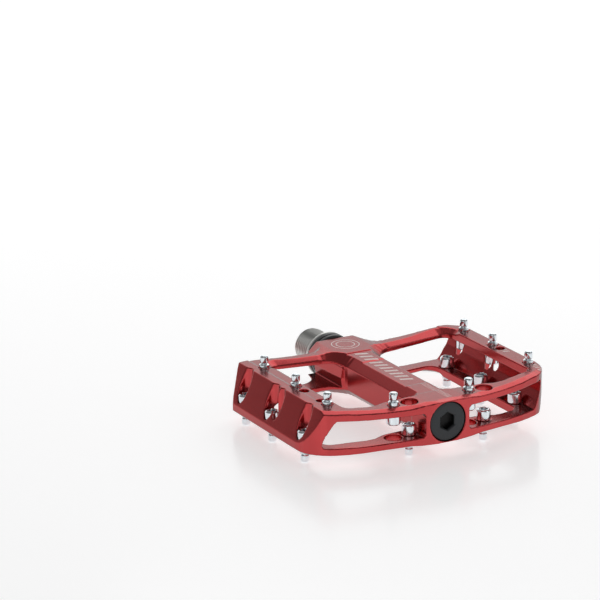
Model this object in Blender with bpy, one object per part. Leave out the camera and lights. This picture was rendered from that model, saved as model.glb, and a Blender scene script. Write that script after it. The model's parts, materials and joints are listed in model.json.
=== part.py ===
"""Flat bicycle pedal, right-hand side: a machined cage that spins on a threaded axle.

Every shape is set out about the axle line: +X points outboard, away from the crank,
and +Z points up. The pedal lies on its lower traction pins. The cage looks the same
after half a turn about the axle, so each cut is made once and copied by that turn.
"""
from math import atan2, cos, pi, radians, sin

import bmesh
import bpy
from mathutils import Matrix, Vector

MM = 0.001

# Cage, in millimetres
HALF_WIDTH = 52.5            # axle line to the outside of a rail
RAIL_HALF = 8.62             # half the thickness at the rails
DISH_HALF = 7.97             # half the thickness at the low part of the dished plates
DISH_TILT = 0.4              # how much lower the dish lies at its inboard end
DISH_RISE_Y = 23.0           # where the dish starts to rise towards a rail
HUB_TOP = 8.32               # half the thickness over the hub
OUTER_X = 51.9               # outboard face
BOSS_END_X = -32.0           # inboard face of the hub
END_ARC_R = 137.0            # plan radius of the outboard edge
CORNER_R = 15.0              # plan radius of the outboard corners
CORNER_X = 30.4              # centre of those corners
BEVEL_TOP_Y = 46.8           # where a rail's sloping side meets the tread
BEVEL_LOW_Z = -5.4           # where it meets the rail's upright band
BEVEL_LEAN = (HALF_WIDTH - BEVEL_TOP_Y) / (RAIL_HALF - BEVEL_LOW_Z)
END_CHAMFER = (2.7, 0.8)     # run and drop of the chamfer round the outboard edge
CAP_RELIEF = 0.45            # how much shallower that chamfer is over the cap
SIDE_CHAMFER = (0.8, 0.6)

# Windows and the gap between the two plates
INNER_RAIL_Y = 37.7          # window edge beside a rail whose side slopes away
OUTER_RAIL_Y = 44.7          # window edge beside a rail with the full tread
WINDOW_CORNER_R = 3.6        # outboard corner beside the rail
WINDOW_REAR_R = 4.5          # inboard corner beside the rail
BOSS_LIP_Z = 4.65            # height where the spine's and the hub's chamfers start
BAR_LIP_Z = 6.4              # height where the bars' chamfers start
REAR_LIP_Z = 7.4             # the same where the inboard bar meets the rail
CHANNEL = (                  # height as a share of half the gap; web, hub; rounding
    (-1, 47.9, 8.4, 1.0),
    (-0.8, 47.6, 8.8, 0.0),
    (-0.1, 46.5, 9.4, 0.0),
    (0.8, 43.9, 8.8, 0.0),
    (1, 43.6, 8.4, 0.8),
)
GAP_HALF = 4.3               # half the gap between the plates at the axle
GAP_RISE = 0.02              # added for each millimetre away from the axle
SPINE_HALF = 7.95            # half the width of the spine
SPINE_CORNER = (37.4, 11.0)  # fillet where the spine meets the outboard bar
SPINE_CORNER_R = 3.05
HUB_FILLET = (-8.0, 16.2)    # fillet where the spine meets the inboard bar
HUB_FILLET_R = 8.25
HUB_STEP_X = -9.6            # where the hub begins to bulge out from the spine
BOSS_WALL_Y = 9.35           # half the width of the hub at its outboard end
BOSS_HALF = 11.5             # half the width of the hub's plates at the inboard end
BOSS_SLOPE = 1.05            # run of the chamfer on the hub's side for a unit of rise
END_BAR = 6.4                # plan width of the outboard bar
STEP_CUTS = ((-13.4, 39.7, 7.92), (-2.4, 29.4, 7.65))   # shallow steps in the spine's top

# Traction pins
INNER_ROW_Y = 41.0
OUTER_ROW_Y = 48.8
INNER_ROW_X = (-14.2, 10.25, 33.8)
OUTER_ROW_X = (-14.6, 6.2, 31.0)
END_PIN_X = 45.0
END_PIN_Y = (-19.6, 12.8)
RAIL_TIP_Z = 13.3            # a pin's tip, above the axle
END_TIP_Z = 12.85
PIN_LENGTH = 12.4
HEAD_LENGTH = 4.3
HEAD_R = 2.75
STUB_R = 2.0
TIP_R = 1.5
PIN_HEX = 3.0
PIN_BORE_R = 2.3
SEAT_R = 3.1
SEAT_GAP = 0.3
SCALLOP_R = 3.0
SCALLOP_EDGE = 0.35          # chamfer round a scallop's mouth
ACCESS_R = 3.3
SPARE_HOLE_R = 1.9
SPARE_HOLE_Z = 3.5           # foot of a spare hole in a rail
SPARE_INNER_X = (16.5, 29.2)
SPARE_OUTER_X = 11.4
SPARE_SCALLOP_R = 2.5

# Axle and bearings
THREAD_R = 7.14              # 9/16 inch by 20 turns an inch
THREAD_END_X = -51.9
THREAD_ROOT_X = -38.9
COLLAR_R = 9.2
COLLAR_X = (-38.4, -37.3)
JOURNAL_R = 5.0
SHAFT_R = 4.3
SEAT_SHOULDER_X = 34.7
BEARING_SEAT_R = 3.0
BEARING_BORE = 3.3
BEARING_OD = 6.0
BEARING_WIDTH = 4.0
BEARING_X = (35.0, 39.3)
BALL_R = 0.8
BALL_PITCH_R = 4.65
BALL_COUNT = 7
AXLE_TIP_X = 48.1
BUSH_R = 6.2
BUSH_X = (-31.4, -16.4)
BORE_R = 5.3                 # hub's bore between the bushing and the bearings
BORE_STEP_X = -13.7
POCKET_END_X = 46.1          # outboard end of the bearings' pocket
CAP_R = 7.45
CAP_FACE_X = 51.4
CAP_BACK_X = 50.2            # back of the cap's flange
CAP_SEAT_X = 48.6            # the face that the flange's ring is pressed against
CAP_FOOT_X = 46.4            # inner end of the cap's thread
CAP_THREAD_R = 6.2
CAP_HEX = 6.0
HOUSING_GAP = 0.3

AXLE_HEIGHT = RAIL_TIP_Z     # the lower pins' tips stand on the ground
FINE = 36                    # facets round the large turned pieces
COARSE = 16                  # facets round the small ones


# ---------------------------------------------------------------- helpers

def clear_scene():
    for item in list(bpy.data.objects):
        bpy.data.objects.remove(item, do_unlink=True)


def make_material(name, colour, metallic, roughness):
    material = bpy.data.materials.new(name)
    material.use_nodes = True
    shader = material.node_tree.nodes["Principled BSDF"]
    shader.inputs["Base Color"].default_value = (*colour, 1.0)
    shader.inputs["Metallic"].default_value = metallic
    shader.inputs["Roughness"].default_value = roughness
    return material


def add_object(name, bm, material, parent, smooth=True):
    """Turn a bmesh in millimetres into an object that hangs on its parent."""
    bmesh.ops.recalc_face_normals(bm, faces=bm.faces)
    bmesh.ops.scale(bm, vec=(MM, MM, MM), verts=bm.verts)
    mesh = bpy.data.meshes.new(name)
    bm.to_mesh(mesh)
    bm.free()
    if smooth:
        mesh.shade_smooth()
        mesh.set_sharp_from_angle(angle=radians(32))
    item = bpy.data.objects.new(name, mesh)
    bpy.context.collection.objects.link(item)
    item.parent = parent
    if material:
        mesh.materials.append(material)
    return item


def skin_rings(bm, rings, loop=False):
    """Join rings with the same number of points into one closed shell."""
    rows = [[bm.verts.new(point) for point in ring] for ring in rings]
    count = len(rings[0])
    pairs = list(zip(rows, rows[1:]))
    if loop:
        pairs.append((rows[-1], rows[0]))
    else:
        bm.faces.new(rows[0])
        bm.faces.new(rows[-1])
    for low, high in pairs:
        for i in range(count):
            j = (i + 1) % count
            bm.faces.new((low[i], low[j], high[j], high[i]))


def copy_half_turn(bm):
    """Add a copy turned by half a turn about the axle."""
    copy = bmesh.ops.duplicate(bm, geom=bm.verts[:] + bm.edges[:] + bm.faces[:])
    moved = [item for item in copy["geom"] if isinstance(item, bmesh.types.BMVert)]
    bmesh.ops.rotate(bm, verts=moved, cent=(0, 0, 0), matrix=Matrix.Rotation(pi, 3, "X"))


def tidy_cutter(bm):
    bmesh.ops.remove_doubles(bm, verts=bm.verts, dist=1e-4)
    bmesh.ops.triangulate(bm, faces=bm.faces)


def ring_points(position, radius, facets, hexagon=False):
    """Points round the local Z axis. A hexagon's radius is half its width across flats."""
    points = []
    for i in range(facets):
        angle = 2 * pi * i / facets
        reach = radius
        if hexagon:
            reach = radius / cos(angle % (pi / 3) - pi / 6)
        points.append(Vector((reach * cos(angle), reach * sin(angle), position)))
    return points


def turned(bm, profile, facets, along_x=False, centre=(0, 0, 0), flip=False, loop=False):
    """Skin a list of (position, radius) or (position, radius, "hex") along an axis."""
    rings = []
    for entry in profile:
        ring = ring_points(entry[0], entry[1], facets, len(entry) == 3)
        rings.append(ring)
    turn = Matrix.Rotation(pi / 2, 3, "Y") if along_x else Matrix.Identity(3)
    if flip:
        turn = Matrix.Rotation(pi, 3, "X") @ turn
    place = Vector(centre)
    rings = [[turn @ point + place for point in ring] for ring in rings]
    skin_rings(bm, rings, loop)


def turned_object(name, profile, material, parent, facets=FINE, loop=False):
    bm = bmesh.new()
    turned(bm, profile, facets, along_x=True, loop=loop)
    return add_object(name, bm, material, parent)


def arc(centre, radius, start, end, steps):
    """Plan points on an arc, with angles in degrees."""
    points = []
    for i in range(steps + 1):
        angle = radians(start + (end - start) * i / steps)
        points.append((centre[0] + radius * cos(angle), centre[1] + radius * sin(angle)))
    return points


def smoothstep(value):
    value = min(max(value, 0.0), 1.0)
    return value * value * (3 - 2 * value)


# ---------------------------------------------------------------- cage surfaces

def dish_height(y):
    """Height of the plates' outer surface, dished between the hub and the rails."""
    y = abs(y)
    if y < 14:
        return HUB_TOP - (HUB_TOP - DISH_HALF) * smoothstep((y - 8) / 6)
    return DISH_HALF + (RAIL_HALF - DISH_HALF + 0.02) * smoothstep((y - DISH_RISE_Y) / 19.5)


def outer_x(y):
    return OUTER_X - y * y / (2 * END_ARC_R)


def outer_corner(side):
    """Plan points of an outboard corner, from the end arc round to the rail."""
    return arc((CORNER_X, side * (HALF_WIDTH - CORNER_R)), CORNER_R, side * 16.4, side * 90, 8)


def outer_edge():
    """The outboard edge from the lower-Y rail to the upper-Y rail."""
    reach = HALF_WIDTH - CORNER_R + CORNER_R * sin(radians(16.4))
    end = [(outer_x(y), y) for y in (-reach + reach * i / 7 for i in range(1, 14))]
    return outer_corner(-1)[::-1] + end + outer_corner(1)


def make_blank():
    plan = outer_edge() + [(BOSS_END_X, HALF_WIDTH), (BOSS_END_X, -HALF_WIDTH)]
    bm = bmesh.new()
    skin_rings(bm, [[(x, y, z) for x, y in plan] for z in (-RAIL_HALF, RAIL_HALF)])
    return bm


def prism_along_x(bm, section, start, end):
    skin_rings(bm, [[(x, y, z) for y, z in section] for x in (start, end)])


# ---------------------------------------------------------------- cage cutters

def dish_cutter():
    """Hollows both faces between the rails, a little deeper at the inboard end."""
    half = [8.0, 10.0, 12.0, 14.0, DISH_RISE_Y, 27.0, 30.0, 33.0, 36.0, 39.0, 42.5]
    across = [-y for y in reversed(half)] + half
    rings = []
    for x, tilt in ((BOSS_END_X - 9, DISH_TILT), (OUTER_X + 9, 0)):
        low = [(x, y, dish_height(y) - tilt * smoothstep((abs(y) - 8) / 6)) for y in across]
        rings.append(low + [(x, across[-1], 12), (x, across[0], 12)])
    bm = bmesh.new()
    skin_rings(bm, rings)
    copy_half_turn(bm)
    tidy_cutter(bm)
    return bm


def bevel_cutter():
    """Slopes the upper side of one rail and, turned, the lower side of the other."""
    top = -(BEVEL_TOP_Y - BEVEL_LEAN * (12 - RAIL_HALF))
    foot = -(HALF_WIDTH + BEVEL_LEAN * 12)
    bm = bmesh.new()
    section = [(top, 12), (foot, BEVEL_LOW_Z - 12), (foot, 12)]
    prism_along_x(bm, section, BOSS_END_X - 9, OUTER_X + 9)
    copy_half_turn(bm)
    return bm


def window_edge(rail_y):
    """Plan points (x, distance from the axle) round a window, with their chamfer.

    Each entry is (x, y, height where the chamfer starts, its run for a unit of rise,
    plan direction of the run).
    """
    edge = []

    def add(points, start, slope, centre=None):
        for i, (x, y) in enumerate(points):
            share = i / max(1, len(points) - 1)
            way = Vector((x - centre[0], y - centre[1])).normalized() if centre else Vector((0, -1))
            rise_from = start[0] + (start[-1] - start[0]) * share
            edge.append((x, y, rise_from, slope[0] + (slope[-1] - slope[0]) * share, way))

    bar = (BAR_LIP_Z,)
    boss = (BOSS_LIP_Z,)
    add(arc(SPINE_CORNER, SPINE_CORNER_R, -90, 0, 4), boss, (1.0, 0.0), SPINE_CORNER)
    add([(40.45, 16.0), (40.5, 20.0), (40.9, 22.2), (41.7, 24.0), (42.4, 26.2)], bar, (0.0,))
    corner_y = rail_y - WINDOW_CORNER_R
    add([(outer_x(y) - END_BAR, y) for y in (29.5, (29.5 + corner_y) / 2)], bar, (0.0,))
    corner_x = outer_x(corner_y) - END_BAR - WINDOW_CORNER_R * cos(radians(15))
    add(arc((corner_x, corner_y), WINDOW_CORNER_R, 15, 90, 4), bar, (0.0,))
    add([(18.0, rail_y), (-4.0, rail_y)], bar, (0.0,))
    rear = (-11.7 - 0.13 * (rail_y - 21.5), rail_y - WINDOW_REAR_R)
    add(arc(rear, WINDOW_REAR_R, 90, 180, 5), (REAR_LIP_Z, BAR_LIP_Z), (1.6, 2.0), rear)
    add([(-17.6, 28.0), (-16.9, 22.5)], bar, (2.0,), (20.0, 27.0))
    add(arc(HUB_FILLET, HUB_FILLET_R, 180, 270, 8), bar + boss, (2.0, 1.0), HUB_FILLET)
    add([(8.0, SPINE_HALF), (24.0, SPINE_HALF)], boss, (1.0,))
    return edge


def channel_edge(web_y, hub_y, rounding):
    """The gap between the plates, with a point for each point of the window's edge."""
    beyond = OUTER_X + 8
    before = BOSS_END_X - 12
    boss_y = BOSS_WALL_Y + rounding
    web_y -= rounding
    points = [(SPINE_CORNER[0], SPINE_HALF), (39.0, 7.95), (40.3, 8.5), (41.2, boss_y), (beyond, boss_y)]
    points += [(beyond, y) for y in (16.0, 20.0, 22.2, 24.0, 26.2, 29.5, 33.0)]
    points += [(beyond, web_y - 1.6 + 0.4 * i) for i in range(5)]
    points += [(18.0, web_y), (-4.0, web_y)]
    points += [(before, web_y - 0.6 * i) for i in range(6)]
    points += [(before, y) for y in (28.0, 22.5)]
    points += [(before, hub_y), (-26.0, hub_y), (-22.0, hub_y), (-18.0, hub_y), (-15.5, hub_y)]
    points += [(-13.0, hub_y), (HUB_STEP_X - 1, hub_y), (HUB_STEP_X, 8.3)]
    points += [(HUB_FILLET[0], SPINE_HALF), (8.0, SPINE_HALF), (24.0, SPINE_HALF)]
    return points


def window_cutter():
    """A window and the gap beside it, cut as one, level by level from below to above."""
    near = window_edge(INNER_RAIL_Y)
    far = window_edge(OUTER_RAIL_Y)

    def flare(edge, z):
        ring = []
        for x, y, start, slope, way in edge:
            run = slope * (abs(z) - start)
            ring.append((x + way.x * run, -(y + way.y * run), z))
        return ring

    def wall(edge, sign):
        return [(x, -y, sign * start) for x, y, start, slope, way in edge]

    def lip(points, share):
        return [(p[0], -p[1], share * (GAP_HALF + GAP_RISE * p[1])) for p in points]

    bm = bmesh.new()
    rings = [flare(far, -11.0), wall(far, -1), lip(far, -1)]
    rings += [lip(channel_edge(*widths), share) for share, *widths in CHANNEL]
    rings += [lip(near, 1), wall(near, 1), flare(near, 11.0)]
    skin_rings(bm, rings)
    copy_half_turn(bm)
    tidy_cutter(bm)
    return bm


def hub_cutter():
    """Shapes the inboard edge: the cut-off corner, the inboard bar and the hub's side."""
    corner = [(-15.8, 54.0), (-18.5, 52.4), (-19.9, 51.4), (-23.6, 47.4), (-24.4, 45.8), (-24.6, 43.4)]
    outline = [(x, y, 0.0, (0, -1)) for x, y in corner + [(-23.6, 30.0)]]
    centre = (-30.6, 20.3)
    for i, (x, y) in enumerate(arc(centre, 7.6, 0, -78, 6)):
        way = Vector((x - centre[0], y - centre[1])).normalized()
        outline.append((x, y, BOSS_SLOPE * smoothstep(i / 4), way))
    outline += [(-34.0, BOSS_HALF, BOSS_SLOPE, (0, -1)), (-45.0, BOSS_HALF, BOSS_SLOPE, (0, -1))]
    outline += [(-45.0, 62.0, 0.0, (0, -1)), (-15.8, 62.0, 0.0, (0, -1))]
    start = 4.6

    def level(z, rise):
        return [(x + way[0] * slope * rise, -(y + way[1] * slope * rise), z)
                for x, y, slope, way in outline]

    bm = bmesh.new()
    skin_rings(bm, [level(-11, 11 - start), level(-start, 0), level(start, 0), level(11, 11 - start)])
    copy_half_turn(bm)
    tidy_cutter(bm)
    return bm


def edge_chamfer_cutter():
    """The chamfer along the outboard edge that runs on along the full-width rail."""
    edge = [Vector(point) for point in outer_edge() if point[1] > -HALF_WIDTH + 2.0]
    path = [(a + b) / 2 for a, b in zip(edge, edge[1:])]
    path += [Vector((x, HALF_WIDTH)) for x in (26.0, 10.0, -30.0)]
    rings = []
    for i, (x, y) in enumerate(path):
        along = (path[min(i + 1, len(path) - 1)] - path[max(i - 1, 0)]).normalized()
        out = Vector((along.y, -along.x))
        share = smoothstep((atan2(out.y, out.x) - radians(25)) / radians(60))
        run = END_CHAMFER[0] + (SIDE_CHAMFER[0] - END_CHAMFER[0]) * share
        drop = END_CHAMFER[1] + (SIDE_CHAMFER[1] - END_CHAMFER[1]) * share
        drop -= CAP_RELIEF * (1 - smoothstep((abs(y) - 6) / 6))
        top = dish_height(y)
        slope = drop / run
        inner = run + 0.9 / slope
        section = [(1.5, top - drop - 1.5 * slope), (-inner, top + 0.9)]
        section += [(-inner, 12.0), (1.5, 12.0)]
        rings.append([(x + out.x * reach, y + out.y * reach, z) for reach, z in section])
    bm = bmesh.new()
    skin_rings(bm, rings)
    copy_half_turn(bm)
    tidy_cutter(bm)
    return bm


def hole_cutter():
    """Bores for the upper pins, their seats, the access holes and the spare holes."""
    bm = bmesh.new()
    rail_seat = RAIL_TIP_Z - PIN_LENGTH + HEAD_LENGTH + SEAT_GAP
    end_seat = END_TIP_Z - PIN_LENGTH + HEAD_LENGTH + SEAT_GAP
    for x in INNER_ROW_X:
        profile = [(1.0, SEAT_R), (rail_seat, SEAT_R), (rail_seat, PIN_BORE_R), (12, PIN_BORE_R)]
        turned(bm, profile, COARSE, centre=(x, -INNER_ROW_Y, 0))
    for x in OUTER_ROW_X:
        profile = [(-12, SCALLOP_R), (rail_seat, SCALLOP_R), (rail_seat, PIN_BORE_R), (12, PIN_BORE_R)]
        turned(bm, profile, COARSE, centre=(x, OUTER_ROW_Y, 0))
    for y in END_PIN_Y:
        profile = [(-12, ACCESS_R), (0, ACCESS_R), (0, SEAT_R), (end_seat, SEAT_R)]
        profile += [(end_seat, PIN_BORE_R), (12, PIN_BORE_R)]
        turned(bm, profile, COARSE, centre=(END_PIN_X, y, 0))
    copy_half_turn(bm)
    return bm


def spare_hole_cutter():
    """The spare threaded holes, one of them in a second lobe of the middle scallop."""
    bm = bmesh.new()
    for x in SPARE_INNER_X:
        profile = [(SPARE_HOLE_Z, SPARE_HOLE_R), (12, SPARE_HOLE_R)]
        turned(bm, profile, COARSE, centre=(x, -INNER_ROW_Y, 0))
    floor = RAIL_TIP_Z - PIN_LENGTH + HEAD_LENGTH + SEAT_GAP
    profile = [(-12, SPARE_SCALLOP_R), (floor, SPARE_SCALLOP_R), (floor, SPARE_HOLE_R)]
    profile += [(12, SPARE_HOLE_R)]
    turned(bm, profile, 20, centre=(SPARE_OUTER_X, OUTER_ROW_Y, 0))
    copy_half_turn(bm)
    return bm


def mouth_cutter():
    """The small chamfer where each scallop breaks out through a rail's sloping side."""
    bm = bmesh.new()
    for x in OUTER_ROW_X:
        rings = []
        for depth in (-0.7, 1.1):
            grow = SCALLOP_EDGE * (1 - depth)
            ring = []
            for i in range(COARSE):
                angle = 2 * pi * (i + 0.5) / COARSE
                y = OUTER_ROW_Y + (SCALLOP_R + 0.15 * grow) * sin(angle)
                slope_z = (y - BEVEL_TOP_Y) / BEVEL_LEAN - RAIL_HALF
                ring.append((x + (SCALLOP_R + grow) * cos(angle), y, slope_z + depth))
            rings.append(ring)
        skin_rings(bm, rings)
    copy_half_turn(bm)
    tidy_cutter(bm)
    return bm


def bore_cutter():
    """The stepped bore through the hub."""
    bush = BUSH_R + HOUSING_GAP
    bearing = BEARING_OD + HOUSING_GAP
    thread = CAP_THREAD_R + HOUSING_GAP
    rim = CAP_R + 0.25
    profile = [(BOSS_END_X - 5, bush), (BORE_STEP_X, bush), (BORE_STEP_X, BORE_R)]
    profile += [(SEAT_SHOULDER_X, BORE_R), (SEAT_SHOULDER_X, bearing), (POCKET_END_X, bearing)]
    profile += [(POCKET_END_X, thread), (CAP_SEAT_X, thread), (CAP_SEAT_X, rim), (OUTER_X + 5, rim)]
    bm = bmesh.new()
    turned(bm, profile, FINE, along_x=True)
    return bm


def step_cutter(start, end, height):
    bm = bmesh.new()
    section = [(-12, height), (12, height), (12, 12), (-12, 12)]
    prism_along_x(bm, section, start, end)
    copy_half_turn(bm)
    return bm


def make_cage(material, parent):
    cage = add_object("pedal_body", make_blank(), material, parent)
    cutters = [("cut_dish", dish_cutter()), ("cut_bevels", bevel_cutter())]
    cutters += [("cut_edge_chamfer", edge_chamfer_cutter()), ("cut_hub", hub_cutter())]
    cutters += [("cut_windows", window_cutter()), ("cut_holes", hole_cutter())]
    cutters += [("cut_mouths", mouth_cutter()), ("cut_spare_holes", spare_hole_cutter())]
    cutters.append(("cut_bore", bore_cutter()))
    for i, step in enumerate(STEP_CUTS):
        cutters.append((f"cut_step_{i + 1}", step_cutter(*step)))
    for name, bm in cutters:
        cutter = add_object(name, bm, None, parent, smooth=False)
        cutter.hide_render = True
        cutter.display_type = "WIRE"
        boolean = cage.modifiers.new(name, "BOOLEAN")
        boolean.operation = "DIFFERENCE"
        boolean.solver = "EXACT"
        boolean.object = cutter
    return cage


# ---------------------------------------------------------------- pins

def pin_profile():
    """From the tip down to the socket in the head, along +Z with the tip at zero."""
    stub = -(RAIL_TIP_Z - RAIL_HALF) + 1.9
    head = -(PIN_LENGTH - HEAD_LENGTH)
    foot = -PIN_LENGTH
    return [
        (0, TIP_R - 0.3), (-0.3, TIP_R), (-2.3, TIP_R), (-2.5, 1.2), (stub + 0.5, 1.3),
        (stub, STUB_R), (head, STUB_R), (head, HEAD_R), (foot + 0.35, HEAD_R), (foot, HEAD_R - 0.35),
        (foot, PIN_HEX / 2, "hex"), (foot + 2.4, PIN_HEX / 2, "hex"),
    ]


def make_pins(material, parent):
    """Eight pins on each face; the lower ones are the upper ones turned over."""
    places = [("rail_a", x, -INNER_ROW_Y, RAIL_TIP_Z) for x in INNER_ROW_X]
    places += [("rail_b", x, OUTER_ROW_Y, RAIL_TIP_Z) for x in OUTER_ROW_X]
    places += [("end", END_PIN_X, y, END_TIP_Z) for y in END_PIN_Y]
    counts = {}
    for row, x, y, tip in places:
        counts[row] = counts.get(row, 0) + 1
        for face, sign in (("top", 1), ("bottom", -1)):
            bm = bmesh.new()
            turned(bm, pin_profile(), 12, flip=sign < 0)
            pin = add_object(f"pin_{face}_{row}_{counts[row]}", bm, material, parent)
            pin.location = (x * MM, sign * y * MM, sign * tip * MM)


# ---------------------------------------------------------------- axle and bearings

def make_axle(material, parent):
    profile = [
        (-46.5, 4.0, "hex"), (THREAD_END_X, 4.0, "hex"), (THREAD_END_X, THREAD_R - 0.9),
        (THREAD_END_X + 0.9, THREAD_R), (THREAD_ROOT_X - 0.6, THREAD_R), (THREAD_ROOT_X, 6.3),
        (COLLAR_X[0] + 0.2, 6.3), (COLLAR_X[0] + 0.2, 7.3), (COLLAR_X[0], 7.5),
        (COLLAR_X[0], COLLAR_R - 0.25), (COLLAR_X[0] + 0.25, COLLAR_R),
        (COLLAR_X[1], COLLAR_R), (COLLAR_X[1], JOURNAL_R), (-15.0, JOURNAL_R), (-14.0, SHAFT_R),
        (SEAT_SHOULDER_X, SHAFT_R), (SEAT_SHOULDER_X, BEARING_SEAT_R), (44.2, BEARING_SEAT_R),
        (44.6, 2.5), (AXLE_TIP_X - 0.4, 2.5), (AXLE_TIP_X, 2.1),
    ]
    turned_object("axle", profile, material, parent)


def make_seal_and_bush(seal, bush, parent):
    start = COLLAR_X[1] + 0.3
    end = BOSS_END_X - 0.3
    middle = (start + end) / 2
    bore = JOURNAL_R + 0.3
    profile = [
        (start, bore), (start, COLLAR_R - 0.2), (start + 0.3, COLLAR_R), (middle - 0.4, COLLAR_R),
        (middle - 0.2, COLLAR_R - 0.5), (middle + 0.2, COLLAR_R - 0.5), (middle + 0.4, COLLAR_R - 0.1),
        (end - 0.4, COLLAR_R - 0.1), (end, COLLAR_R - 0.6), (end, bore),
    ]
    turned_object("inboard_seal", profile, seal, parent, loop=True)
    sleeve = [(BUSH_X[0], bore), (BUSH_X[0], BUSH_R), (BUSH_X[1], BUSH_R), (BUSH_X[1], bore)]
    turned_object("plain_bushing", sleeve, bush, parent, loop=True)


def groove(centre_x, inwards):
    """Profile points of a ball track, as an arc about the balls' pitch circle."""
    reach = BALL_R + 0.3
    points = []
    for i in range(4):
        angle = radians(-48 + 32 * i)
        radius = BALL_PITCH_R + inwards * reach * cos(angle)
        points.append((centre_x + reach * sin(angle), radius))
    return points


def make_bearing(number, start, steel, parents):
    end = start + BEARING_WIDTH
    centre = start + BEARING_WIDTH / 2
    outer = [(start, BEARING_OD), (start, 5.35)] + groove(centre, 1) + [(end, 5.35), (end, BEARING_OD)]
    turned_object(f"bearing_{number}_outer_ring", outer, steel, parents["cage"], 24, loop=True)
    inner = [(start, BEARING_BORE), (start, 3.95)] + groove(centre, -1) + [(end, 3.95), (end, BEARING_BORE)]
    turned_object(f"bearing_{number}_inner_ring", inner, steel, parents["axle"], 24, loop=True)
    make_ball_cage(f"bearing_{number}_balls", centre, steel, parents["balls"])


def make_ball_cage(name, centre, steel, parent):
    """A thin ring that carries the balls, joined to them as one piece."""
    bm = bmesh.new()
    ring = [(centre - 1.15, BALL_PITCH_R - 0.25), (centre - 1.15, BALL_PITCH_R + 0.25)]
    ring += [(centre + 1.15, BALL_PITCH_R + 0.25), (centre + 1.15, BALL_PITCH_R - 0.25)]
    turned(bm, ring, 21, along_x=True, loop=True)
    carrier = add_object(name, bm, steel, parent)
    balls = bmesh.new()
    for i in range(BALL_COUNT):
        angle = 2 * pi * i / BALL_COUNT
        place = Vector((centre, BALL_PITCH_R * cos(angle), BALL_PITCH_R * sin(angle)))
        bmesh.ops.create_uvsphere(balls, u_segments=8, v_segments=6, radius=BALL_R,
                                  matrix=Matrix.Translation(place))
    tool = add_object(name + "_union", balls, None, parent, smooth=False)
    tool.hide_render = True
    tool.display_type = "WIRE"
    union = carrier.modifiers.new("balls", "BOOLEAN")
    union.operation = "UNION"
    union.solver = "EXACT"
    union.object = tool


def make_end_hardware(materials, parents):
    washer = [(43.6, 3.3), (43.6, 4.4), (44.4, 4.4), (44.4, 3.3)]
    turned_object("axle_washer", washer, materials["steel"], parents["axle"], loop=True)
    nut = [(44.7, 2.8), (44.7, 3.9), (44.9, 4.0, "hex"), (47.3, 4.0, "hex"), (47.5, 3.9), (47.5, 2.8)]
    turned_object("lock_nut", nut, materials["steel"], parents["axle"], COARSE, loop=True)
    cap = [
        (CAP_SEAT_X, 5.0), (CAP_FOOT_X, 5.0), (CAP_FOOT_X, CAP_THREAD_R), (CAP_BACK_X, CAP_THREAD_R),
        (CAP_BACK_X, CAP_R), (CAP_FACE_X - 0.4, CAP_R), (CAP_FACE_X, CAP_R - 0.4),
        (CAP_FACE_X, CAP_HEX / 2 + 0.4, "hex"), (CAP_FACE_X - 0.4, CAP_HEX / 2, "hex"),
        (CAP_SEAT_X + 0.3, CAP_HEX / 2, "hex"),
    ]
    turned_object("end_cap", cap, materials["black"], parents["cage"])
    ring = [(49.4 + 0.42 * cos(a), 7.0 + 0.42 * sin(a)) for a in (2 * pi * i / 6 for i in range(6))]
    turned_object("cap_o_ring", ring, materials["rubber"], parents["cage"], 28, loop=True)


# ---------------------------------------------------------------- assembly

def axis_empty(name):
    empty = bpy.data.objects.new(name, None)
    bpy.context.collection.objects.link(empty)
    empty.location = (0, 0, AXLE_HEIGHT * MM)
    return empty


def main():
    clear_scene()
    materials = {
        "red": make_material("red_anodised", (0.46, 0.045, 0.05), 0.9, 0.38),
        "zinc": make_material("zinc_steel", (0.72, 0.75, 0.78), 1.0, 0.25),
        "steel": make_material("ground_steel", (0.55, 0.56, 0.56), 1.0, 0.35),
        "black": make_material("black_cap", (0.03, 0.032, 0.035), 0.2, 0.45),
        "rubber": make_material("seal_rubber", (0.02, 0.02, 0.022), 0.0, 0.6),
        "bush": make_material("bush_polymer", (0.75, 0.68, 0.3), 0.0, 0.5),
    }
    parents = {"axle": axis_empty("axle_line"), "cage": axis_empty("cage_line"),
               "balls": axis_empty("ball_line")}
    make_cage(materials["red"], parents["cage"])
    make_pins(materials["zinc"], parents["cage"])
    make_axle(materials["steel"], parents["axle"])
    make_seal_and_bush(materials["rubber"], materials["bush"], parents["cage"])
    for number, start in enumerate(BEARING_X, 1):
        make_bearing(number, start, materials["steel"], parents)
    make_end_hardware(materials, parents)


main()
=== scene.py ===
"""Looks of the flat pedal: fine meshes, procedural materials, studio and camera."""
import json
from math import cos, pi, radians, sin

import bmesh
import bpy
from mathutils import Matrix, Vector

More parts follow.
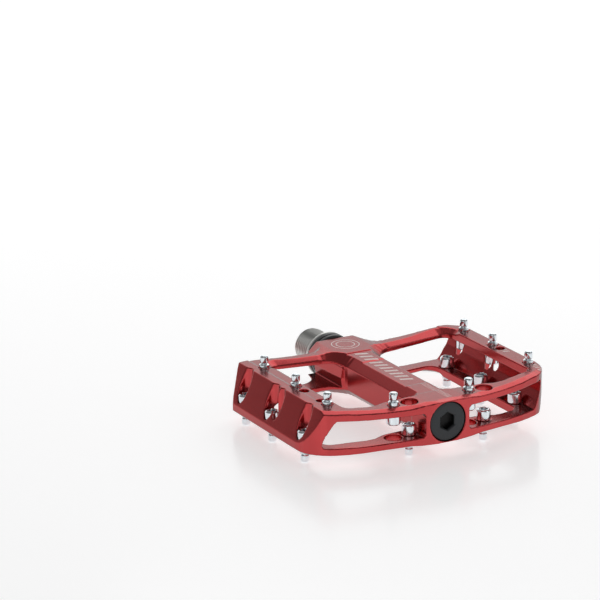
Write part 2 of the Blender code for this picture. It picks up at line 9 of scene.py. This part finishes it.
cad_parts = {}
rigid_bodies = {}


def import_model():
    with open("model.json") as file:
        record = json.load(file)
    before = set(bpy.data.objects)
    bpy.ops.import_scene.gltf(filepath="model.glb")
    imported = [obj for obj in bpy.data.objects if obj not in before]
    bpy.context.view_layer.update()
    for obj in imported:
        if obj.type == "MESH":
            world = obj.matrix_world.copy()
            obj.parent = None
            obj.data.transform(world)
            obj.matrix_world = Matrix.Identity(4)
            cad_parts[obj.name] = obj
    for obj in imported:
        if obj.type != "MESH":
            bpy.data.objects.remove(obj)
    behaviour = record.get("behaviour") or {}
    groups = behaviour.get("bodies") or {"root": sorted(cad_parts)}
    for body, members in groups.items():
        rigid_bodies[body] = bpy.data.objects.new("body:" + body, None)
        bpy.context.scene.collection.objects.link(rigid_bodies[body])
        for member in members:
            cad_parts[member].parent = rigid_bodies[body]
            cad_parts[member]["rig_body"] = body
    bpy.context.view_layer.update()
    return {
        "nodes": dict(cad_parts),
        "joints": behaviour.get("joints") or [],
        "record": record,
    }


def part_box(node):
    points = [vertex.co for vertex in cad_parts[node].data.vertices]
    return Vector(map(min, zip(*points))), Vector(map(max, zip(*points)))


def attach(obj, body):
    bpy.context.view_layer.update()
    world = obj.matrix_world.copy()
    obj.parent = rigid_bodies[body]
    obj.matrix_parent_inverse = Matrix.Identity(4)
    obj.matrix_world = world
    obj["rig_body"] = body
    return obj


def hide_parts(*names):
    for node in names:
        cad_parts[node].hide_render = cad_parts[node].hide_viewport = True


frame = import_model()

MM = 0.001
AXLE_Z = frame["joints"][0]["pos_m"][2]
BODY_OF = {node: item["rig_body"] for node, item in frame["nodes"].items()}


# ---------------------------------------------------------------- node helpers

class Graph:
    """A small helper that adds nodes to one material, or to the world, and links them."""

    def __init__(self, owner, coordinate):
        owner.use_nodes = True
        self.tree = owner.node_tree
        self.place = self.node("ShaderNodeTexCoord").outputs[coordinate]

    def node(self, kind, **settings):
        item = self.tree.nodes.new(kind)
        for key, value in settings.items():
            setattr(item, key, value)
        return item

    def feed(self, socket, value):
        if isinstance(value, bpy.types.NodeSocket):
            self.tree.links.new(value, socket)
        else:
            socket.default_value = value

    def axes(self):
        """The three coordinates of the point being shaded, in metres."""
        item = self.node("ShaderNodeSeparateXYZ")
        self.feed(item.inputs[0], self.place)
        return item.outputs

    def math(self, operation, *values):
        item = self.node("ShaderNodeMath", operation=operation)
        for socket, value in zip(item.inputs, values):
            self.feed(socket, value)
        return item.outputs[0]

    def noise(self, scale, detail=4.0, roughness=0.55, place=None):
        item = self.node("ShaderNodeTexNoise")
        self.feed(item.inputs["Vector"], place or self.place)
        item.inputs["Scale"].default_value = scale
        item.inputs["Detail"].default_value = detail
        item.inputs["Roughness"].default_value = roughness
        return item.outputs["Fac"]

    def stretched(self, x, y, z):
        item = self.node("ShaderNodeMapping")
        self.feed(item.inputs["Vector"], self.place)
        item.inputs["Scale"].default_value = (x, y, z)
        return item.outputs["Vector"]

    def ranged(self, value, low, high, new_low, new_high, easing="LINEAR"):
        item = self.node("ShaderNodeMapRange", interpolation_type=easing)
        for socket, number in zip(item.inputs[:5], (value, low, high, new_low, new_high)):
            self.feed(socket, number)
        return item.outputs[0]

    def mix(self, share, first, second):
        item = self.node("ShaderNodeMix", data_type="RGBA")
        self.feed(item.inputs[0], share)
        self.feed(item.inputs[6], first)
        self.feed(item.inputs[7], second)
        return item.outputs[2]

    def bump(self, height, strength, distance):
        item = self.node("ShaderNodeBump")
        item.inputs["Strength"].default_value = strength
        item.inputs["Distance"].default_value = distance
        self.feed(item.inputs["Height"], height)
        return item.outputs[0]


class Material(Graph):
    """A material whose patterns follow the piece's own coordinates."""

    def __init__(self, name):
        self.material = bpy.data.materials.new(name)
        super().__init__(self.material, "Object")

    def surface(self, **inputs):
        shader = self.tree.nodes["Principled BSDF"]
        for key, value in inputs.items():
            self.feed(shader.inputs[key.replace("_", " ")], value)


# ---------------------------------------------------------------- materials

ETCH_Z = 7.3                 # the etched marks lie on the upper tread, above this height
# Rows of plain marks: start, end, count, share of the pitch, slant, low and high edge across
MARK_ROWS = (
    (-12.0, 25.0, 10, 0.42, 0.35, -2.4, 2.4),
    (29.8, 49.0, 17, 0.26, 0.0, 1.2, 3.6),
    (-10.5, 2.5, 7, 0.42, 0.3, 47.6, 50.2),
    (15.5, 26.5, 6, 0.42, 0.3, 47.6, 50.2),
)
RING_MARK = ((-23.5, 0.0), (3.6, 5.4), 0.22)    # centre, radii and half the line's width
THREAD_END_X = -39.0         # the axle's thread ends here
THREAD_ROOT_R = 6.95         # below this radius the thread's grooves get painted shade
CAP_SOCKET_X = 50.2          # inboard of this the end cap's socket gets painted shade
CAP_RING_PITCH = 0.22        # between the end cap's turning marks


def etched_marks(graph):
    """A mask of plain laser marks: rows of slanted bars, a row of ticks and two rings."""
    place_x, place_y, place_z = graph.axes()
    x = graph.math("MULTIPLY", place_x, 1 / MM)
    y = graph.math("MULTIPLY", place_y, 1 / MM)
    z = graph.math("MULTIPLY", graph.math("SUBTRACT", place_z, AXLE_Z), 1 / MM)

    def both(first, second):
        return graph.math("MULTIPLY", first, second)

    def row(start, end, count, share, slant, low, high):
        along = graph.math("SUBTRACT", x, graph.math("MULTIPLY", y, slant))
        within = both(graph.math("GREATER_THAN", along, start), graph.math("LESS_THAN", along, end))
        pitch = (end - start) / count
        phase = graph.math("FRACT", graph.math("DIVIDE", graph.math("SUBTRACT", along, start), pitch))
        span = both(graph.math("GREATER_THAN", y, low), graph.math("LESS_THAN", y, high))
        return both(both(graph.math("LESS_THAN", phase, share), within), span)

    mask = 0.0
    for settings in MARK_ROWS:
        mask = graph.math("MAXIMUM", mask, row(*settings))
    centre, radii, half_line = RING_MARK
    away_x = graph.math("SUBTRACT", x, centre[0])
    away_y = graph.math("SUBTRACT", y, centre[1])
    reach = graph.math("SQRT", graph.math("ADD", both(away_x, away_x), both(away_y, away_y)))
    for radius in radii:
        off = graph.math("ABSOLUTE", graph.math("SUBTRACT", reach, radius))
        mask = graph.math("MAXIMUM", mask, graph.math("LESS_THAN", off, half_line))
    return both(mask, graph.math("GREATER_THAN", z, ETCH_Z))


def red_anodised():
    """Dyed aluminium under a clear layer, whose reflection takes over at a low angle of view."""
    graph = Material("red_anodised")
    cloud = graph.noise(160.0, 3.0)
    grain = graph.noise(9000.0, 2.0, 0.7)
    etched = etched_marks(graph)
    red = graph.mix(cloud, (0.50, 0.024, 0.028, 1), (0.58, 0.034, 0.038, 1))
    colour = graph.mix(graph.math("MULTIPLY", etched, 0.85), red, (0.76, 0.68, 0.65, 1))
    rough = graph.ranged(grain, 0.3, 0.7, 0.22, 0.28)
    rough = graph.math("ADD", rough, graph.math("MULTIPLY", etched, 0.2))
    graph.surface(Base_Color=colour, Metallic=1.0, Roughness=rough, Specular_Tint=(0.0, 0.0, 0.0, 1),
                  Coat_Weight=1.0, Coat_Roughness=0.20, Coat_IOR=1.5,
                  Normal=graph.bump(grain, 0.12, 0.00004))
    return graph.material


def zinc_plate():
    graph = Material("bright_zinc")
    cloud = graph.noise(700.0, 3.0)
    scratch = graph.noise(2500.0, 3.0, 0.6, graph.stretched(1, 1, 0.15))
    colour = graph.mix(cloud, (0.76, 0.82, 0.86, 1), (0.90, 0.95, 0.98, 1))
    graph.surface(Base_Color=colour, Metallic=1.0, Roughness=graph.ranged(scratch, 0.3, 0.7, 0.13, 0.22),
                  Normal=graph.bump(scratch, 0.15, 0.00003))
    return graph.material


def distance_from_axle(graph):
    side = graph.axes()[1]
    up = graph.math("SUBTRACT", graph.axes()[2], AXLE_Z)
    return graph.math("SQRT", graph.math("ADD", graph.math("MULTIPLY", up, up),
                                         graph.math("MULTIPLY", side, side)))


def turned_steel(name, dark, light, rough, threaded=False):
    """Steel with fine rings left by the lathe, round the axle line, and painted shade in the grooves of a
    thread.
    """
    graph = Material(name)
    rings = graph.noise(1.0, 2.0, 0.5, graph.stretched(9000, 250, 250))
    cloud = graph.noise(220.0, 3.0)
    colour = graph.mix(cloud, (*dark, 1), (*light, 1))
    if threaded:
        # painted shade: the thread's grooves turn near black below the root radius, up to the thread's
        # end
        groove_shade = graph.ranged(distance_from_axle(graph), (THREAD_ROOT_R - 0.25) * MM, THREAD_ROOT_R * MM,
                             0.85, 0.0)
        groove_shade = graph.math("MULTIPLY", groove_shade, graph.math("LESS_THAN", graph.axes()[0], THREAD_END_X * MM))
        colour = graph.mix(groove_shade, colour, (0.10, 0.10, 0.10, 1))
    graph.surface(Base_Color=colour, Metallic=1.0,
                  Roughness=graph.ranged(rings, 0.3, 0.7, rough - 0.06, rough + 0.06),
                  Normal=graph.bump(rings, 0.25, 0.00003))
    return graph.material


def black_anodised():
    """Satin black with fine turning marks, with painted shade deep in the socket."""
    graph = Material("black_anodised")
    rings = graph.math("SINE", graph.math("MULTIPLY", distance_from_axle(graph),
                                          2 * pi / (CAP_RING_PITCH * MM)))
    grain = graph.noise(6000.0, 2.0)
    # painted shade: inboard of the socket line the cap turns near black
    socket_shade = graph.math("LESS_THAN", graph.axes()[0], CAP_SOCKET_X * MM)
    face = graph.mix(grain, (0.030, 0.033, 0.036, 1), (0.050, 0.054, 0.058, 1))
    colour = graph.mix(socket_shade, face, (0.004, 0.004, 0.004, 1))
    height = graph.math("ADD", graph.math("MULTIPLY", rings, 0.3), grain)
    graph.surface(Base_Color=colour, Metallic=0.55, Roughness=graph.ranged(grain, 0.3, 0.7, 0.34, 0.44),
                  Normal=graph.bump(height, 0.2, 0.00002))
    return graph.material


def seal_rubber():
    graph = Material("seal_rubber")
    grain = graph.noise(4000.0, 3.0, 0.6)
    cloud = graph.noise(300.0, 2.0)
    colour = graph.mix(cloud, (0.030, 0.032, 0.033, 1), (0.055, 0.057, 0.058, 1))
    graph.surface(Base_Color=colour, Roughness=graph.ranged(grain, 0.3, 0.7, 0.26, 0.38),
                  Normal=graph.bump(grain, 0.12, 0.00003))
    return graph.material


def bush_polymer():
    graph = Material("bush_polymer")
    fibre = graph.noise(1.0, 3.0, 0.6, graph.stretched(600, 4000, 4000))
    colour = graph.mix(fibre, (0.55, 0.44, 0.20, 1), (0.72, 0.62, 0.34, 1))
    graph.surface(Base_Color=colour, Roughness=graph.ranged(fibre, 0.3, 0.7, 0.40, 0.58),
                  Normal=graph.bump(fibre, 0.2, 0.00003))
    return graph.material


MATERIALS = {
    "body": red_anodised(),
    "pins": zinc_plate(),
    "axle": turned_steel("axle_steel", (0.76, 0.76, 0.73), (0.86, 0.86, 0.83), 0.34, threaded=True),
    "hardware": turned_steel("hardware_steel", (0.50, 0.51, 0.52), (0.66, 0.67, 0.68), 0.28),
    "bearing": turned_steel("bearing_steel", (0.60, 0.60, 0.61), (0.74, 0.74, 0.75), 0.16),
    "cap": black_anodised(),
    "rubber": seal_rubber(),
    "bushing": bush_polymer(),
}


# ---------------------------------------------------------------- mesh helpers

def link_mesh(name, mesh, slot, node):
    """Show a mesh as the piece that stands for a CAD node."""
    piece = bpy.data.objects.new(name, mesh)
    bpy.context.scene.collection.objects.link(piece)
    mesh.materials.clear()
    mesh.materials.append(MATERIALS[slot])
    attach(piece, BODY_OF[node])
    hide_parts(node)


def skin(bm, rings, loop=False):
    """Join rings of points into a closed shell, or into a ring when loop is true."""
    rows = [[bm.verts.new(point) for point in ring] for ring in rings]
    count = len(rows[0])
    pairs = list(zip(rows, rows[1:]))
    if loop:
        pairs.append((rows[-1], rows[0]))
    else:
        bm.faces.new(rows[0])
        bm.faces.new(rows[-1])
    for low, high in pairs:
        for i in range(count):
            j = (i + 1) % count
            bm.faces.new((low[i], low[j], high[j], high[i]))


def finish_mesh(name, bm, angle=28):
    bmesh.ops.recalc_face_normals(bm, faces=bm.faces)
    mesh = bpy.data.meshes.new(name)
    bm.to_mesh(mesh)
    bm.free()
    mesh.shade_smooth()
    mesh.set_sharp_from_angle(angle=radians(angle))
    return mesh


def rounded(profile, radius, steps=3):
    """A lathe profile with a small round at every corner between two plain points."""
    result = [profile[0]]
    for before, here, after in zip(profile, profile[1:], profile[2:]):
        plain = all(len(point) == 2 for point in (before, here, after))
        if not plain:
            result.append(here)
            continue
        a, b, c = Vector(before), Vector(here), Vector(after)
        reach = min(radius, (a - b).length * 0.4, (c - b).length * 0.4)
        start = b + (a - b).normalized() * reach
        end = b + (c - b).normalized() * reach
        for i in range(steps + 1):
            t = i / steps
            point = start * (1 - t) ** 2 + b * 2 * t * (1 - t) + end * t ** 2
            result.append(tuple(point))
    result.append(profile[-1])
    return result


def hex_reach(angle, half_width):
    return half_width / cos(angle % (pi / 3) - pi / 6)


# ---------------------------------------------------------------- cage

VOXEL = 0.25 * MM
CAGE_TRIANGLES = 190_000


def evaluated(item):
    bpy.context.view_layer.update()
    return item.evaluated_get(bpy.context.evaluated_depsgraph_get())


def make_cage():
    """The cage's mesh, remeshed finely so that its edges take the small round of a tumbled part."""
    source = frame["nodes"]["pedal_body"]
    bm = bmesh.new()
    bm.from_mesh(source.data)
    bmesh.ops.remove_doubles(bm, verts=bm.verts, dist=1e-7)
    mesh = bpy.data.meshes.new("cage_rough")
    bm.to_mesh(mesh)
    bm.free()
    rough = bpy.data.objects.new("cage_rough", mesh)
    bpy.context.scene.collection.objects.link(rough)
    voxels = rough.modifiers.new("voxels", "REMESH")
    voxels.mode = "VOXEL"
    voxels.voxel_size = VOXEL
    soften = rough.modifiers.new("soften", "SMOOTH")
    soften.factor = 0.5
    soften.iterations = 4
    triangles = 2 * len(evaluated(rough).data.polygons)
    thin = rough.modifiers.new("thin", "DECIMATE")
    thin.ratio = min(1.0, CAGE_TRIANGLES / triangles)
    mesh = bpy.data.meshes.new_from_object(evaluated(rough))
    bpy.data.objects.remove(rough)
    mesh.name = "cage"
    mesh.shade_smooth()
    link_mesh("cage", mesh, "body", "pedal_body")


# ---------------------------------------------------------------- pins

PIN_SEGMENTS = 48
PIN_TIP_R = 1.6
PIN_NECK_R = 1.2
PIN_STUB_R = 2.05
PIN_HEAD_R = 2.75
PIN_HEAD = 4.3               # height of the socket head
PIN_STAND = 4.65             # from the tread to the tip
PIN_DOME = 0.8               # height of the rounded end
PIN_FLANGE = 1.3             # from the tread to the top of the flange
PIN_HEX = 3.0
KNURL_DEPTH = 0.035


def pin_rings(length):
    """Rings from the tip (z = 0) down to the socket in the head."""
    collar = -PIN_STAND + PIN_FLANGE
    dome = [(0.0, 0.3)]
    dome += [(PIN_DOME * (sin(a) - 1), PIN_TIP_R * (0.45 + 0.55 * cos(a)))
             for a in (radians(90 - 15 * i) for i in range(7))]
    stem = [(-2.6, PIN_TIP_R), (-2.78, PIN_TIP_R - 0.05), (-3.0, PIN_NECK_R + 0.04), (-3.1, PIN_NECK_R)]
    stem.append((collar + 0.1, PIN_NECK_R))
    flange = [(collar, PIN_NECK_R + 0.1), (collar - 0.06, PIN_STUB_R - 0.45),
              (collar - 0.3, PIN_STUB_R - 0.15), (-PIN_STAND - 0.2, PIN_STUB_R)]
    head = -(length - PIN_HEAD)
    body = [(head, PIN_STUB_R), (head, PIN_HEAD_R - 0.3), (head - 0.35, PIN_HEAD_R - 0.02)]
    grip = [(head - 0.4, PIN_HEAD_R, "knurl"), (-length + 0.65, PIN_HEAD_R, "knurl")]
    rim = [(-length + 0.6, PIN_HEAD_R - 0.02), (-length + 0.12, PIN_HEAD_R - 0.4),
           (-length, PIN_HEAD_R - 0.6)]
    socket = [(-length, PIN_HEX / 2 + 0.32), (-length + 0.25, PIN_HEX / 2, "hex"),
              (-length + 2.3, PIN_HEX / 2, "hex"), (-length + 2.7, 0.3)]
    return dome + stem + flange + body + grip + rim + socket


def pin_mesh(length):
    bm = bmesh.new()
    rings = []
    for z, radius, *kind in pin_rings(length):
        ring = []
        for i in range(PIN_SEGMENTS):
            angle = 2 * pi * i / PIN_SEGMENTS
            reach = radius
            if kind == ["hex"]:
                reach = hex_reach(angle, radius)
            if kind == ["knurl"] and i % 2:
                reach = radius - KNURL_DEPTH
            ring.append((reach * cos(angle) * MM, reach * sin(angle) * MM, z * MM))
        rings.append(ring)
    skin(bm, rings)
    return finish_mesh("pin", bm, 40)


def screwed_angle(node):
    """A fixed angle for each pin, since no two are screwed in alike."""
    return sum(ord(letter) * (i + 3) for i, letter in enumerate(node)) * 0.37


def make_pins():
    for node in sorted(frame["nodes"]):
        if not node.startswith("pin_"):
            continue
        low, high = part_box(node)
        mesh = pin_mesh((high.z - low.z) / MM)
        if node.startswith("pin_top"):
            tip = high.z
            turn = Matrix.Identity(4)
        else:
            tip = low.z
            turn = Matrix.Rotation(pi, 4, "X")
        spin = Matrix.Rotation(screwed_angle(node), 4, "Z")
        centre = Vector(((low.x + high.x) / 2, (low.y + high.y) / 2, tip))
        mesh.transform(Matrix.Translation(centre) @ turn @ spin)
        link_mesh(node + "_fine", mesh, "pins", node)


# ---------------------------------------------------------------- turned pieces

def axle_ring(x, reaches):
    """Points round the axle line at x, each at its own distance from it, in millimetres."""
    count = len(reaches)
    return [(x * MM, reach * sin(2 * pi * i / count) * MM, AXLE_Z + reach * cos(2 * pi * i / count) * MM)
            for i, reach in enumerate(reaches)]


def lathe(name, profile, slot, node, segments, loop=False):
    """Turn a profile of (x, radius) in millimetres about the axle line; a third item makes it a hex."""
    bm = bmesh.new()
    rings = []
    for x, radius, *kind in profile:
        reaches = [hex_reach(2 * pi * i / segments, radius) if kind else radius for i in range(segments)]
        rings.append(axle_ring(x, reaches))
    skin(bm, rings, loop)
    link_mesh(name, finish_mesh(name, bm), slot, node)


THREAD_PITCH = 1.27
THREAD_DEPTH = 0.75
THREAD_STEPS = 14            # rings of points for each turn of the thread
THREAD_CREST_R = 7.1
THREAD_RUN_OUT_X = -40.2     # the grooves start to fade here
AXLE_HEX = 8.0
AXLE_HEX_DEPTH = 5.4
COLLAR_R = 9.18
JOURNAL_R = 5.0
BEARING_SEAT_R = 4.3
NUT_THREAD_R = 3.0
AXLE_SEGMENTS = 96


def thread_reach(x, radius, turn, start):
    """Distance from the axle line of a point of the thread, turn being its share of a full turn."""
    phase = ((x - start) / THREAD_PITCH + turn) % 1
    flank = min(max(abs(phase - 0.5) * 2.5 - 0.12, 0.0), 1.0)
    fade = max(min(1.0, (THREAD_RUN_OUT_X + 0.8 - x) / 1.2), 0.0)
    reach = radius - THREAD_DEPTH * flank * fade
    lead_in = radius + x - start - 0.9
    run_out = radius - max(x - THREAD_RUN_OUT_X + 0.4, 0.0) * 0.6
    return min(reach, lead_in, run_out)


def make_axle():
    """The axle with its cut thread, collar, journals and threaded tip."""
    low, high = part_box("axle")
    start = low.x / MM
    end = high.x / MM
    step = THREAD_PITCH / THREAD_STEPS
    count = int((THREAD_RUN_OUT_X + 0.8 - start - 0.1) / step)
    rings = [(start + AXLE_HEX_DEPTH, AXLE_HEX / 2, "hex"), (start + 0.45, AXLE_HEX / 2, "hex"),
             (start, 4.75), (start, THREAD_CREST_R - 1.15)]
    rings += [(start + 0.1 + i * step, THREAD_CREST_R, "thread") for i in range(count)]
    rings += rounded([(-39.3, 6.3), (-38.25, 6.3), (-38.25, 7.25), (-38.4, 7.5), (-38.4, COLLAR_R - 0.1),
                      (-38.2, COLLAR_R), (-37.4, COLLAR_R), (-37.3, COLLAR_R - 0.15), (-37.3, JOURNAL_R),
                      (-15.0, JOURNAL_R), (-14.0, BEARING_SEAT_R), (34.7, BEARING_SEAT_R),
                      (34.7, NUT_THREAD_R), (44.2, NUT_THREAD_R), (44.6, 2.5), (end - 0.4, 2.5),
                      (end, 2.1)], 0.12, 2)
    bm = bmesh.new()
    shell = []
    for x, radius, *kind in rings:
        reaches = [radius] * AXLE_SEGMENTS
        if kind == ["hex"]:
            reaches = [hex_reach(2 * pi * i / AXLE_SEGMENTS, radius) for i in range(AXLE_SEGMENTS)]
        if kind == ["thread"]:
            reaches = [thread_reach(x, radius, i / AXLE_SEGMENTS, start) for i in range(AXLE_SEGMENTS)]
        shell.append(axle_ring(x, reaches))
    skin(bm, shell)
    link_mesh("axle_fine", finish_mesh("axle_fine", bm, 40), "axle", "axle")


SEAL_BORE_R = 5.3


def make_seal():
    low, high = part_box("inboard_seal")
    start = low.x / MM
    end = high.x / MM
    outer = (high.z - low.z) / MM / 2
    middle = (start + end) / 2
    profile = [(start, SEAL_BORE_R), (start, outer - 0.2), (start + 0.25, outer), (middle - 0.35, outer),
               (middle - 0.2, outer - 0.45), (middle + 0.2, outer - 0.45), (middle + 0.35, outer - 0.05),
               (end - 0.5, outer - 0.05), (end - 0.1, outer - 0.5), (end, outer - 1.0),
               (end, SEAL_BORE_R)]
    lathe("seal_fine", rounded(profile, 0.14), "rubber", "inboard_seal", 96, loop=True)


CAP_SEAT_X = 50.2
CAP_BORE_R = 5.0
CAP_THREAD_R = 6.2
CAP_HEX = 6.0


def make_cap():
    low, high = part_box("end_cap")
    face = high.x / MM
    back = low.x / MM
    rim = (high.z - low.z) / MM / 2
    profile = [(back + 2.2, CAP_BORE_R), (back, CAP_BORE_R), (back, CAP_THREAD_R),
               (CAP_SEAT_X, CAP_THREAD_R), (CAP_SEAT_X, rim), (face - 0.3, rim), (face - 0.06, rim - 0.3),
               (face - 0.06, rim - 0.75), (face, rim - 0.85), (face, 4.6)]
    socket = [(face, CAP_HEX / 2 + 0.42, "hex"), (face - 0.38, CAP_HEX / 2, "hex"),
              (face - 2.5, CAP_HEX / 2, "hex"), (face - 2.55, CAP_HEX / 2 - 0.1)]
    lathe("end_cap_fine", rounded(profile, 0.1) + socket, "cap", "end_cap", 120)


def dress_cad_nodes():
    """Give the CAD nodes that stay in view their procedural materials."""
    slots = {item["node"]: item["material_slot"] for item in frame["record"]["subparts"]}
    for node, item in frame["nodes"].items():
        item.data.materials.clear()
        item.data.materials.append(MATERIALS[slots[node]])


# ---------------------------------------------------------------- studio

FLOOR_REACH = 6.0
FLOOR_GLOW = 0.55
SKY = 0.16                   # brightness of the dim studio
WALL = 0.90                  # brightness that the pale wall behind the pedal adds
WALL_WAY = (-0.87, 0.49, 0.0)
WALL_SIDE = (0.35, 0.85)     # cosine of the angles from the wall's middle between which it fades in
WALL_TOP = (0.38, 0.75)      # sine of the heights between which the wall fades out
AIM = Vector((0, 0, 0.01))   # the point that the front lights face
CAMERA_PLACE = (0.8588, -0.5150, 0.3611)
CAMERA_TURN = (72.530, 0.164, 60.661)
CAMERA_LENS = 166.1


def area_light(name, place, target, size, power):
    data = bpy.data.lights.new(name, "AREA")
    data.shape = "RECTANGLE"
    data.size, data.size_y = size
    data.energy = power
    item = bpy.data.objects.new(name, data)
    bpy.context.scene.collection.objects.link(item)
    item.location = place
    item.rotation_euler = (Vector(target) - Vector(place)).to_track_quat("-Z", "Y").to_euler()


def make_floor():
    """A pale glossy table top, lit a little from within so that shadows stay light."""
    graph = Material("pale_floor")
    cloud = graph.noise(6.0, 2.0)
    graph.surface(Base_Color=graph.mix(cloud, (0.72, 0.72, 0.725, 1), (0.74, 0.74, 0.745, 1)),
                  Roughness=graph.ranged(cloud, 0.3, 0.7, 0.16, 0.20), Specular_IOR_Level=0.3,
                  Emission_Color=(1.0, 1.0, 1.0, 1), Emission_Strength=FLOOR_GLOW)
    bm = bmesh.new()
    ways = ((-1, -1), (1, -1), (1, 1), (-1, 1))
    bm.faces.new([bm.verts.new((x * FLOOR_REACH, y * FLOOR_REACH, 0)) for x, y in ways])
    mesh = bpy.data.meshes.new("floor")
    bm.to_mesh(mesh)
    bm.free()
    mesh.materials.append(graph.material)
    floor = bpy.data.objects.new("floor", mesh)
    bpy.context.scene.collection.objects.link(floor)


def make_world():
    """A dim studio with a pale wall on the far side, up to a soft upper edge."""
    world = bpy.data.worlds.new("studio")
    bpy.context.scene.world = world
    graph = Graph(world, "Generated")
    dot = graph.node("ShaderNodeVectorMath", operation="DOT_PRODUCT")
    graph.feed(dot.inputs[0], graph.place)
    graph.feed(dot.inputs[1], WALL_WAY)
    side = graph.ranged(dot.outputs["Value"], *WALL_SIDE, 0.0, WALL, "SMOOTHSTEP")
    top = graph.ranged(graph.axes()[2], *WALL_TOP, 1.0, 0.0, "SMOOTHSTEP")
    background = graph.tree.nodes["Background"]
    graph.feed(background.inputs["Color"], (1.0, 1.0, 1.0, 1))
    graph.feed(background.inputs["Strength"], graph.math("MULTIPLY_ADD", side, top, SKY))


def make_studio():
    make_floor()
    make_world()
    area_light("overhead", (-0.52, 0.50, 0.80), (0, 0, 0), (0.85, 0.70), 2.1)
    area_light("front_right", (0.75, 0.65, 0.55), AIM, (0.5, 0.5), 0.9)
    area_light("front_left", (0.60, -0.86, 0.30), AIM, (0.4, 0.3), 0.5)
    area_light("front", (0.98, -0.50, 0.55), AIM, (0.7, 0.25), 0.7)


def make_camera():
    data = bpy.data.cameras.new("camera")
    data.lens = CAMERA_LENS
    camera = bpy.data.objects.new("camera", data)
    bpy.context.scene.collection.objects.link(camera)
    camera.location = CAMERA_PLACE
    camera.rotation_euler = [radians(angle) for angle in CAMERA_TURN]
    bpy.context.scene.camera = camera


def set_view():
    settings = bpy.context.scene.view_settings
    settings.view_transform = "Standard"
    settings.look = "None"
    settings.exposure = 0.0


dress_cad_nodes()
make_cage()
make_pins()
make_axle()
make_seal()
make_cap()
make_studio()
make_camera()
set_view()
